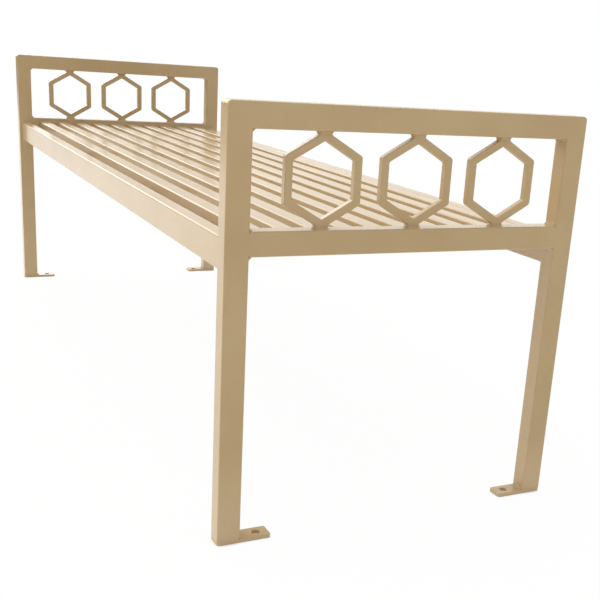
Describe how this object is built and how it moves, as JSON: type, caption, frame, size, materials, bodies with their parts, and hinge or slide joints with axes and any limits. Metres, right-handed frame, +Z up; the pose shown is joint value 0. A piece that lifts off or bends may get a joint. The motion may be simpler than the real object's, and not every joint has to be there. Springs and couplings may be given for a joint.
{
  "type": "portable bench",
  "caption": "Backless steel bench with a slatted seat, square end frames, hexagon panels under the arm rails and drilled foot plates.",
  "frame": {"origin": "on the floor, in the middle of the footprint", "axes": "+X along the seat towards the right end, -Y to the front, +Z up"},
  "size_m": [1.85, 0.608, 0.66],
  "materials": {
    "tan_powder_coat": "semi-gloss tan powder coat on welded steel"
  },
  "bodies": {
    "root": {"cross_strap_1": "tan_powder_coat", "cross_strap_2": "tan_powder_coat", "front_side_rail": "tan_powder_coat", "left_arm_rail": "tan_powder_coat", "left_front_foot_plate": "tan_powder_coat", "left_front_post": "tan_powder_coat", "left_hexagon_1": "tan_powder_coat", "left_hexagon_2": "tan_powder_coat", "left_hexagon_3": "tan_powder_coat", "left_rear_foot_plate": "tan_powder_coat", "left_rear_post": "tan_powder_coat", "left_seat_end_rail": "tan_powder_coat", "rear_side_rail": "tan_powder_coat", "right_arm_rail": "tan_powder_coat", "right_front_foot_plate": "tan_powder_coat", "right_front_post": "tan_powder_coat", "right_hexagon_1": "tan_powder_coat", "right_hexagon_2": "tan_powder_coat", "right_hexagon_3": "tan_powder_coat", "right_rear_foot_plate": "tan_powder_coat", "right_rear_post": "tan_powder_coat", "right_seat_end_rail": "tan_powder_coat", "slat_1": "tan_powder_coat", "slat_10": "tan_powder_coat", "slat_2": "tan_powder_coat", "slat_3": "tan_powder_coat", "slat_4": "tan_powder_coat", "slat_5": "tan_powder_coat", "slat_6": "tan_powder_coat", "slat_7": "tan_powder_coat", "slat_8": "tan_powder_coat", "slat_9": "tan_powder_coat"}
  },
  "joints": []
}
